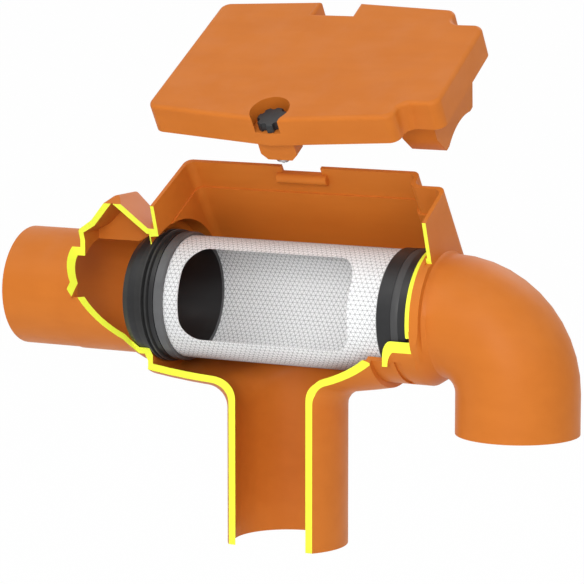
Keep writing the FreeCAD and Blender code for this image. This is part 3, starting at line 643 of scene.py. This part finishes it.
@dataclass
class Housing:
    """The moulded housing with its painted cut faces.

    Attributes:
        axis_x: Place of the drop pipe's axis.
        plane: Depth of the main cut in front of the pipe axis.
        upper_start: Height where the cut starts to lean.
        upper_lean: Lean of the upper cut in degrees.
        step_plane: Depth of the cut at the outlet seat.
        step_start: Where the cut turns out to the step, past the drop axis.
        step_end: Where the step is reached.
        step_height: Depth of the step's upper face below the pipe axis.
        slant_end: Where the slant meets the chamber's end.
        slant_start: Where the slant begins on the inlet pipe.
        slant_turn: Turn of the slant about Z in degrees.
        slant_tip: Tip of the slant in degrees.
        slant_front: Depth of the slant's corner in front of the pipe axis.
        right: Right end of the cut.
        lip: Corners of the outlet seat's lip as pairs of X and radius.
        lip_turn: Where the lip starts and ends, in degrees up from the front.
        lip_steps: Steps round the lip.
    """

    axis_x: float = DROP_AXIS_X
    plane: float = 0.035
    upper_start: float = 0.050
    upper_lean: float = 19.8
    step_plane: float = 0.057
    step_start: float = 0.045
    step_end: float = 0.116
    step_height: float = 0.0082
    slant_end: float = 0.112
    slant_start: float = 0.1938
    slant_turn: float = 35.5
    slant_tip: float = 31.2
    slant_front: float = 0.055
    right: float = 0.420
    lip: tuple[tuple[float, float], ...] = (
        (0.4149, 0.0582),
        (0.4149, 0.0598),
        (0.4200, 0.0598),
        (0.4203, 0.0629),
        (0.4241, 0.0629),
        (0.4241, 0.0582),
    )
    lip_turn: tuple[float, float] = (-13.0, 80.0)
    lip_steps: int = 40

    def faces(self) -> list[CutFace]:
        """Give the flat faces of the cut.

        Returns:
            One entry for each face that is painted.
        """
        front = Vector((0, -1, 0))
        start = Vector((self.axis_x + self.step_start, -self.plane, 0))
        end = Vector((self.axis_x + self.step_end, -self.step_plane, 0))
        run = (end - start).normalized()
        turned = Matrix.Rotation(math.radians(-self.slant_turn), 3, "Z")
        tipped = Matrix.Rotation(math.radians(-self.slant_tip), 3, "Y")
        slant_point = Vector((self.axis_x - self.slant_start, -self.slant_front, self.step_height))
        return [
            CutFace(Vector((0, -self.plane, 0)), front),
            CutFace(Vector((0, -self.step_plane, 0)), front),
            CutFace(Vector((0, -self.plane, self.upper_start)), leaning(self.upper_lean) @ front),
            CutFace(start, Vector((run.y, -run.x, 0))),
            CutFace(Vector((0, 0, -self.step_height)), Vector((0, 0, 1)), self.axis_x),
            CutFace(slant_point, turned @ tipped @ Vector((1, 0, 0))),
            CutFace(Vector((self.axis_x - self.slant_end, 0, 0)), Vector((1, 0, 0))),
            CutFace(Vector((self.right, 0, 0)), Vector((-1, 0, 0))),
        ]

    def build(self, dresser: Dresser) -> None:
        """Build the housing and paint its cut faces.

        Args:
            dresser: Gives the pieces their finish and body.
        """
        piece = merged_copy(dresser.nodes["housing"], "housing_moulding")
        materials = dresser.finishes.materials
        piece.data.materials.append(materials["orange_moulding"])
        piece.data.materials.append(materials["yellow_cut"])
        cut_faces = self.faces()
        painted = 0
        for polygon in piece.data.polygons:
            centre, normal = Vector(polygon.center), Vector(polygon.normal)
            if any(face.holds(centre, normal) for face in cut_faces):
                polygon.material_index = 1
                painted += 1
        LOG.info("housing: %d painted faces", painted)
        dresser.dress(piece, "orange_moulding", Body.FILTER, "housing")
        self.seat_lip(dresser)

    def seat_lip(self, dresser: Dresser) -> None:
        """Build the thin lip that stays on the outlet seat along the cut.

        Args:
            dresser: Gives the lip its finish and body.
        """
        first, last = self.lip_turn
        work = bmesh.new()
        loops = []
        for step in range(self.lip_steps + 1):
            turn = math.radians(first + (last - first) * step / self.lip_steps)
            corners = [(x, -r * math.cos(turn), r * math.sin(turn)) for x, r in self.lip]
            loops.append([work.verts.new(corner) for corner in corners])
        count = len(self.lip)
        for lower, upper in zip(loops, loops[1:]):
            for corner in range(count):
                after = (corner + 1) % count
                face = work.faces.new((lower[corner], lower[after], upper[after], upper[corner]))
                face.material_index = int(corner in (0, 1))
        for loop in (loops[0], loops[-1]):
            work.faces.new(loop).material_index = 1
        bmesh.ops.recalc_face_normals(work, faces=work.faces)
        mesh = bpy.data.meshes.new("seat_lip")
        work.to_mesh(mesh)
        work.free()
        mesh.materials.append(dresser.finishes.materials["orange_moulding"])
        mesh.materials.append(dresser.finishes.materials["yellow_cut"])
        dresser.dress(shaded(mesh, "seat_lip"), "orange_moulding", Body.FILTER)


# Cartridge


@dataclass
class Lattice:
    """The three families of lines that cover the screen tube.

    Attributes:
        rows: Lines along the tube, evenly spaced round it; an even number.
        start: Where the screen starts to show.
        end: Where it ends.
        width: Width of a line.
        height: Height of a line above the screen.
        axis_x: Place of the drop pipe's axis.
        window_start: Left edge of the window, before the drop axis.
        window_end: Right edge of the window, past the drop axis.
        window_top: Height of the window's upper edge.
        window_bottom: Depth of its lower edge.
        window_corner: Radius of its corners.
        slope: Slope of the two leaning families in degrees.
        spare_columns: Columns past the length, trimmed away at the ends.
    """

    rows: int = 86
    start: float = 0.1716
    end: float = 0.3858
    width: float = 0.00042
    height: float = 0.0003
    axis_x: float = DROP_AXIS_X
    window_start: float = 0.084
    window_end: float = 0.087
    window_top: float = 0.04889
    window_bottom: float = 0.03206
    window_corner: float = 0.019
    slope: float = 60.0
    spare_columns: int = 3

    def clearance(self) -> bpy.types.NodeTree:
        """Build the group for the distance outside the window and inside the tube's ends.

        Returns:
            The group, which takes a point and puts out the distance.
        """
        sheet, source = new_group(
            "Screen Clearance",
            "GeometryNodeTree",
            {"Point": ("NodeSocketVector", None)},
            {"Distance": "NodeSocketFloat"},
        )
        across, along, up = sheet.parts(source["Point"])
        half = ((self.window_start + self.window_end) / 2, (self.window_top + self.window_bottom) / 2)
        middle = (self.axis_x + (self.window_end - self.window_start) / 2,
                  (self.window_top - self.window_bottom) / 2)
        over = []
        for value, centre, reach in zip((across, up), middle, half):
            off = sheet.calc("ABSOLUTE", sheet.calc("SUBTRACT", value, centre))
            over.append(sheet.calc("SUBTRACT", off, reach - self.window_corner))
        past = [sheet.calc("MAXIMUM", side, 0.0) for side in over]
        outer = sheet.length(sheet.joined(past[0], past[1], 0.0))
        inner = sheet.calc("MINIMUM", sheet.calc("MAXIMUM", over[0], over[1]), 0.0)
        edge = sheet.calc("SUBTRACT", sheet.calc("ADD", outer, inner), self.window_corner)
        window = sheet.calc("ADD", edge, sheet.calc("GREATER_THAN", along, 0.0))
        before = sheet.calc("SUBTRACT", across, self.start)
        ends = sheet.calc("MINIMUM", before, sheet.calc("SUBTRACT", self.end, across))
        sheet.add("NodeGroupOutput", {"Distance": sheet.calc("MINIMUM", window, ends)})
        return sheet.tree

    def tree(self) -> bpy.types.NodeTree:
        """Build the lattice tree, with the radius, line sizes and material as inputs.

        Returns:
            The tree, which puts out the lines as one mesh.
        """
        number = "NodeSocketFloat"
        sheet, source = new_group(
            "Screen Lattice",
            "GeometryNodeTree",
            {
                "Radius": (number, TUBE_RADIUS),
                "Pitch Radius": (number, TUBE_RADIUS),
                "Line Width": (number, self.width),
                "Line Height": (number, self.height),
                "Material": ("NodeSocketMaterial", None),
            },
            {"Geometry": "NodeSocketGeometry"},
        )
        clearance = self.clearance()
        slope = math.sin(math.radians(self.slope))
        step = sheet.calc("MULTIPLY", source["Pitch Radius"], math.tau / self.rows)
        pitch = sheet.calc("DIVIDE", step, slope)
        spacing = TUBE_RADIUS * math.tau / self.rows / slope
        columns = math.ceil((self.end - self.start) / spacing) + self.spare_columns
        # A bar one unit long and wide, which each line then scales.
        profile = sheet.add("GeometryNodeCurvePrimitiveCircle", {"Resolution": 4, "Radius": 0.5})
        line = sheet.add("GeometryNodeCurvePrimitiveLine", {"Start": (0, 0, -0.5), "End": (0, 0, 0.5)})
        swept = {"Curve": line.outputs[0], "Profile Curve": profile.outputs[0]}
        bar = sheet.add("GeometryNodeCurveToMesh", swept).outputs[0]
        families = []
        for degrees in (0.0, self.slope, -self.slope):
            families.append(self.family(sheet, source, clearance, bar, (pitch, columns), degrees))
        joined = sheet.add("GeometryNodeJoinGeometry")
        for family in families:
            sheet.tree.links.new(family, joined.inputs[0])
        real = sheet.add("GeometryNodeRealizeInstances", {"Geometry": joined.outputs[0]})
        finish = {"Geometry": real.outputs[0], "Material": source["Material"]}
        coated = sheet.add("GeometryNodeSetMaterial", finish)
        sheet.add("NodeGroupOutput", {"Geometry": coated.outputs[0]})
        return sheet.tree

    def family(
        self, sheet: Sheet, source: dict, clearance: bpy.types.NodeTree, bar, grid: tuple, degrees: float
    ) -> bpy.types.NodeSocket:
        """Lay one family of short bars, trimmed at the window and at the tube's ends.

        Args:
            sheet: The tree's sheet.
            source: The tree's inputs.
            clearance: The group that measures the distance to an edge.
            bar: The unit bar.
            grid: The pitch along the tube and the number of columns.
            degrees: Slope of the bars from the tube's axis.

        Returns:
            The family's instances.
        """
        pitch, columns = grid
        points = sheet.add("GeometryNodePoints", {"Count": columns * self.rows})
        index = sheet.add("GeometryNodeInputIndex").outputs[0]
        row = sheet.calc("FLOOR", sheet.calc("DIVIDE", sheet.calc("ADD", index, 0.5), float(columns)))
        column = sheet.calc("SUBTRACT", index, sheet.calc("MULTIPLY", row, float(columns)))
        odd = sheet.calc("MODULO", row, 2.0)
        place = sheet.calc("MULTIPLY", sheet.calc("ADD", column, sheet.calc("MULTIPLY", odd, 0.5)), pitch)
        across = sheet.calc("ADD", sheet.calc("SUBTRACT", place, pitch), self.start)
        angle = sheet.calc("MULTIPLY", row, math.tau / self.rows)
        slope = math.radians(degrees)
        turn = sheet.calc("DIVIDE", sheet.calc("MULTIPLY", pitch, math.sin(slope)), source["Pitch Radius"])
        far_across = sheet.calc("ADD", across, sheet.calc("MULTIPLY", pitch, math.cos(slope)))
        ends = []
        for x, a in ((across, angle), (far_across, sheet.calc("ADD", angle, turn))):
            along = sheet.calc("MULTIPLY", sheet.calc("COSINE", a), source["Radius"])
            up = sheet.calc("MULTIPLY", sheet.calc("SINE", a), source["Radius"])
            ends.append(sheet.joined(x, along, up))
        gaps = []
        for end in ends:
            gaps.append(sheet.add("GeometryNodeGroup", {"Point": end}, node_tree=clearance).outputs[0])
        span = sheet.vector("SUBTRACT", ends[1], ends[0])
        difference = sheet.calc("SUBTRACT", gaps[1], gaps[0])
        cut_near = sheet.calc("MULTIPLY", sheet.calc("LESS_THAN", gaps[0], 0.0),
                             sheet.calc("DIVIDE", sheet.calc("MULTIPLY", gaps[0], -1.0), difference))
        cut_far = sheet.calc("MULTIPLY", sheet.calc("LESS_THAN", gaps[1], 0.0),
                            sheet.calc("DIVIDE", gaps[1], difference))
        near = sheet.vector("ADD", ends[0], sheet.scaled(span, cut_near))
        far = sheet.vector("SUBTRACT", ends[1], sheet.scaled(span, cut_far))
        kept = sheet.calc("GREATER_THAN", sheet.calc("MAXIMUM", gaps[0], gaps[1]), 0.0)
        centre = sheet.scaled(sheet.vector("ADD", near, far), 0.5)
        way = sheet.vector("SUBTRACT", far, near)
        outwards = sheet.vector("MULTIPLY", centre, (0.0, 1.0, 1.0))
        axes = {"primary_axis": "Z", "secondary_axis": "X"}
        turned = sheet.add("FunctionNodeAxesToRotation", {0: way, 1: outwards}, **axes)
        at = {"Geometry": points.outputs[0], "Position": centre}
        placed = sheet.add("GeometryNodeSetPosition", at)
        laid = sheet.add("GeometryNodeInstanceOnPoints", {
            "Points": placed.outputs[0],
            "Selection": kept,
            "Instance": bar,
            "Rotation": turned.outputs[0],
            "Scale": sheet.joined(source["Line Height"], source["Line Width"], sheet.length(way)),
        })
        return laid.outputs[0]


@dataclass
class Cartridge:
    """The screen tube with its lattice, its two end rings, the clamp and the seals.

    Attributes:
        outer: Radius of the tube's outside.
        wall: Thickness of its wall.
        rim_start: The inlet ring's grey rim lies past this X.
        rim_facing: Least X of a rim face's normal.
        lattice: The lines on the tube.
    """

    outer: float = TUBE_RADIUS
    wall: float = 0.0016
    rim_start: float = 0.1752
    rim_facing: float = 0.9
    lattice: Lattice = field(default_factory=Lattice)

    def build(self, dresser: Dresser) -> None:
        """Build every piece of the cartridge.

        Args:
            dresser: Gives the pieces their finish and body.
        """
        materials = dresser.finishes.materials
        tube = dresser.copy("filter_mesh", "screen_tube", "micro_mesh")
        tube.data.materials.append(materials["inner_mesh_painted_bright"])
        # Faces that look into the tube take the lighter copy, so the inside is painted brighter than the
        # outside: painted light.
        for polygon in tube.data.polygons:
            centre, normal = polygon.center, polygon.normal
            polygon.material_index = int(centre.y * normal.y + centre.z * normal.z < 0)
        tree = self.lattice.tree()
        self.lines(dresser, tree, "screen_lattice_outside", self.outer)
        self.lines(dresser, tree, "screen_lattice_inside", self.outer - self.wall)
        ring = dresser.copy("inlet_end_ring", "inlet_ring", "black_ring")
        ring.data.materials.append(materials["grey_clamp"])
        for polygon in ring.data.polygons:
            on_rim = polygon.center.x > self.rim_start and polygon.normal.x > self.rim_facing
            polygon.material_index = int(on_rim)
        dresser.copy("inlet_clamp_ring", "clamp_ring", "grey_clamp")
        dresser.copy("inlet_seal", "ribbed_seal", "black_rubber")
        dresser.copy("outlet_end_ring", "outlet_ring", "black_ring")
        dresser.copy("outlet_seal", "groove_seal", "grey_rubber")

    def lines(self, dresser: Dresser, tree: bpy.types.NodeTree, name: str, radius: float) -> None:
        """Lay the lattice on one side of the tube.

        Args:
            dresser: Gives the piece its finish and body.
            tree: The lattice tree.
            name: Name of the new piece.
            radius: Radius of the surface that carries it.
        """
        material = dresser.finishes.materials["grey_lattice"]
        values = {"Radius": radius, "Pitch Radius": self.outer, "Material": material}
        mesh = grown(tree, name, values)
        piece = bpy.data.objects.new(name, mesh)
        bpy.context.scene.collection.objects.link(piece)
        dresser.dress(piece, "grey_lattice", Body.FILTER)


def grown(tree: bpy.types.NodeTree, name: str, values: dict) -> bpy.types.Mesh:
    """Run a geometry tree and keep its result as a plain mesh.

    Args:
        tree: The geometry tree.
        name: Name of the mesh.
        values: Input values by name.

    Returns:
        The evaluated mesh, with nothing live left on it.
    """
    carrier = bpy.data.objects.new(name + "_seed", bpy.data.meshes.new(name + "_seed"))
    bpy.context.scene.collection.objects.link(carrier)
    modifier = carrier.modifiers.new(name, "NODES")
    modifier.node_group = tree
    for item in tree.interface.items_tree:
        if item.in_out == "INPUT" and item.name in values:
            modifier[item.identifier] = values[item.name]
    carrier.data.update()
    bpy.context.view_layer.update()
    evaluated = carrier.evaluated_get(bpy.context.evaluated_depsgraph_get())
    mesh = bpy.data.meshes.new_from_object(evaluated)
    mesh.name = name
    bpy.data.objects.remove(carrier)
    return mesh


# Lid and knob


@dataclass
class Lid:
    """The lid with its star knob and screw.

    Attributes:
        tilt: Lean of the lid in degrees.
        knob_x: Place of the knob along the flow.
        seat: The lid's base point in the leaning frame, before it is turned.
        knob_place: Place of the knob in front of that point.
        stud_low: Lower end of the stud below the lid's base plane.
        crest: Thread crest radius.
        root: Thread root radius.
        pitch: Thread pitch.
        threaded: Length of the thread.
        run_out: Length over which the thread ends.
        shank: Radius of the plain shank as a share of the crest's.
        tip: Radius of the tip as a share of the root's.
        steps: Points in one turn of the thread.
        slices: Rings of points in one pitch.
        sharp_degrees: Edges of the screw that turn by more than this stay sharp.
    """

    tilt: float = 32.0
    knob_x: float = 0.275
    seat: Vector = field(default_factory=lambda: Vector((0, 0.138, 0.147)))
    knob_place: float = 0.081
    stud_low: float = 0.028
    crest: float = 0.0040
    root: float = 0.0034
    pitch: float = 0.00125
    threaded: float = 0.0095
    run_out: float = 0.0006
    shank: float = 0.985
    tip: float = 0.9
    steps: int = 32
    slices: int = 8
    sharp_degrees: float = 40.0

    def build(self, dresser: Dresser) -> None:
        """Build the lid's and the knob's pieces.

        Args:
            dresser: Gives the pieces their finish and body.
        """
        dresser.copy("lid", "lid_moulding", "orange_moulding")
        dresser.copy("knob_head", "star_knob", "black_knob", Body.KNOB)
        dresser.copy("knob_retainer", "screw_clip", "turned_steel", Body.KNOB)
        self.screw(dresser)

    def screw(self, dresser: Dresser) -> None:
        """Build the screw as one turned skin whose lower end carries a rolled thread.

        Args:
            dresser: Gives the screw its finish and body.
        """
        low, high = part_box("knob_stud")
        lean, tilt = leaning(self.tilt), math.radians(self.tilt)
        axis = lean @ Vector((0, 0, 1))
        below = lean @ Vector((0, -self.knob_place, -self.stud_low))
        foot = Vector((self.knob_x, 0, 0)) + lean @ self.seat + below
        side = Vector((1, 0, 0))
        other = axis.cross(side)
        total = (high.z - low.z - 2 * self.crest * math.sin(tilt)) / math.cos(tilt)
        slices = int(self.threaded / self.pitch * self.slices)
        heights = [self.threaded * number / slices for number in range(slices + 1)]
        heights += [self.threaded + self.run_out, total]
        work = bmesh.new()
        loops = []
        for number, height in enumerate(heights):
            loop = []
            for step in range(self.steps):
                turn = math.tau * step / self.steps
                phase = (height / self.pitch - step / self.steps) % 1.0
                radius = self.root + (self.crest - self.root) * abs(2 * phase - 1)
                if number == 0:
                    radius = self.root * self.tip
                elif number > slices:
                    radius = self.crest * self.shank
                point = foot + axis * height + (side * math.cos(turn) + other * math.sin(turn)) * radius
                loop.append(work.verts.new(point))
            loops.append(loop)
        for lower, upper in zip(loops, loops[1:]):
            for step in range(self.steps):
                after = (step + 1) % self.steps
                work.faces.new((lower[step], lower[after], upper[after], upper[step]))
        work.faces.new(reversed(loops[0]))
        work.faces.new(loops[-1])
        bmesh.ops.recalc_face_normals(work, faces=work.faces)
        mesh = bpy.data.meshes.new("knob_screw")
        work.to_mesh(mesh)
        work.free()
        screw = shaded(mesh, "knob_screw", self.sharp_degrees)
        dresser.dress(screw, "turned_steel", Body.KNOB, "knob_stud")


# Studio


def aimed(data: bpy.types.ID, place: Place, aim: Place) -> bpy.types.Object:
    """Link a camera or a light that points at a place.

    Args:
        data: The camera's or the light's data.
        place: Where it stands.
        aim: What it points at.

    Returns:
        The new object, named like its data.
    """
    item = bpy.data.objects.new(data.name, data)
    item.location = place
    item.rotation_euler = (Vector(aim) - Vector(place)).to_track_quat("-Z", "Y").to_euler()
    bpy.context.scene.collection.objects.link(item)
    return item


@dataclass(frozen=True)
class Lamp:
    """A soft area lamp.

    Attributes:
        name: Its name.
        place: Where it stands.
        aim: What it points at.
        size: Edge length.
        power: Power in watts.
    """

    name: str
    place: Place
    aim: Place
    size: float
    power: float

    def build(self) -> None:
        """Build the lamp."""
        data = bpy.data.lights.new(self.name, "AREA")
        data.shape = "SQUARE"
        data.size = self.size
        data.energy = self.power
        aimed(data, self.place, self.aim)


@dataclass(frozen=True)
class Spot:
    """A narrow soft spot.

    Attributes:
        name: Its name.
        place: Where it stands.
        aim: What it points at.
        cone: Full angle of its cone in degrees.
        power: Power in watts.
        softness: Radius of its bulb.
    """

    name: str
    place: Place
    aim: Place
    cone: float
    power: float
    softness: float = 0.06

    def build(self) -> None:
        """Build the spot."""
        data = bpy.data.lights.new(self.name, "SPOT")
        data.spot_size = math.radians(self.cone)
        data.spot_blend = 1.0
        data.shadow_soft_size = self.softness
        data.energy = self.power
        aimed(data, self.place, self.aim)


@dataclass
class Studio:
    """The camera, lamps, floor and white surround.

    Attributes:
        eye: Camera place.
        target: Point at the middle of the picture.
        lens: Focal length in millimetres.
        sensor: Width of the sensor in millimetres.
        clip: Nearest and farthest distance that is seen.
        floor_height: Height of the floor.
        floor_half: Half the floor's width.
        floor_white: How far the seen floor is plain white, the rest being lit.
        floor_matt: Greyness and roughness of the lit floor.
        surround: Strength of the surround on the object.
        middle: What the area lamps point at.
    """

    eye: Place = (1.59474, -2.5564, 0.43033)
    target: Place = (0.27415, 0.0, 0.01057)
    lens: float = 198.5
    sensor: float = 36.0
    clip: tuple[float, float] = (0.05, 200.0)
    floor_height: float = -0.6
    floor_half: float = 30.0
    floor_white: float = 0.985
    floor_matt: float = 0.9
    surround: float = 0.55
    middle: Place = (0.28, 0.0, 0.02)

    def build(self) -> None:
        """Build the whole studio."""
        self.camera()
        for lamp in (
            Lamp("key_lamp", (-0.9, -1.9, 2.2), self.middle, 1.4, 14.5),
            Lamp("front_lamp", (0.95, -2.4, 0.8), self.middle, 0.9, 27.0),
            Lamp("side_lamp", (2.4, -1.4, 1.3), self.middle, 1.6, 8.0),
            Lamp("back_lamp", (0.4, 2.2, 1.8), self.middle, 1.6, 20.0),
            Spot("window_lamp", (1.35, -2.45, 0.5), (0.285, 0.045, 0.0), 3.9, 95.0),
        ):
            lamp.build()
        self.floor()
        self.white_surround()
        bpy.context.scene.view_settings.view_transform = "Standard"

    def camera(self) -> None:
        """Build the camera at the photograph's viewing angle."""
        data = bpy.data.cameras.new("photo_camera")
        data.lens = self.lens
        data.sensor_width = self.sensor
        data.clip_start, data.clip_end = self.clip
        bpy.context.scene.camera = aimed(data, self.eye, self.target)

    @staticmethod
    def seen(sheet: Sheet) -> bpy.types.NodeSocket:
        """Give one for camera, glossy and transmission rays, and zero for the rest."""
        path = sheet.add("ShaderNodeLightPath").outputs
        glossy = sheet.calc("MAXIMUM", path["Is Glossy Ray"], path["Is Transmission Ray"])
        return sheet.calc("MAXIMUM", path["Is Camera Ray"], glossy)

    def floor(self) -> None:
        """Build the pale floor, which keeps a faint shadow."""
        half, height = self.floor_half, self.floor_height
        mesh = bpy.data.meshes.new("floor")
        turns = ((-1, -1), (1, -1), (1, 1), (-1, 1))
        mesh.from_pydata([(half * x, half * y, height) for x, y in turns], [], [(0, 1, 2, 3)])
        material, sheet, shader = new_material("pale_floor")
        shader.inputs["Base Color"].default_value = (*[self.floor_matt] * 3, 1)
        shader.inputs["Roughness"].default_value = self.floor_matt
        shader.inputs["Specular IOR Level"].default_value = 0.0
        glow = sheet.add("ShaderNodeEmission", {"Color": (1, 1, 1, 1), "Strength": 1.0})
        factor = sheet.calc("MULTIPLY", self.seen(sheet), self.floor_white)
        both = {0: factor, 1: shader.outputs[0], 2: glow.outputs[0]}
        mixed = sheet.add("ShaderNodeMixShader", both)
        sheet.feed(sheet.tree.nodes["Material Output"].inputs["Surface"], mixed.outputs[0])
        mesh.materials.append(material)
        floor = bpy.data.objects.new("floor", mesh)
        bpy.context.scene.collection.objects.link(floor)

    def white_surround(self) -> None:
        """Build the world: white where it is seen, softer as light."""
        world = bpy.data.worlds.new("white_surround")
        world.use_nodes = True
        sheet = Sheet(world.node_tree)
        background = world.node_tree.nodes["Background"]
        background.inputs["Color"].default_value = (1, 1, 1, 1)
        seen = self.seen(sheet)
        strength = sheet.calc("MULTIPLY_ADD", seen, 1.0 - self.surround, self.surround)
        sheet.feed(background.inputs["Strength"], strength)
        bpy.context.scene.world = world


def main() -> None:
    """Build the dressed filter and its studio in order."""
    logging.basicConfig(level=logging.INFO, format="%(name)s: %(message)s")
    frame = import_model()
    finishes = Finishes()
    finishes.build()
    dresser = Dresser(frame["nodes"], finishes)
    Housing().build(dresser)
    Cartridge().build(dresser)
    Lid().build(dresser)
    Studio().build()


if __name__ == "__main__":
    main()
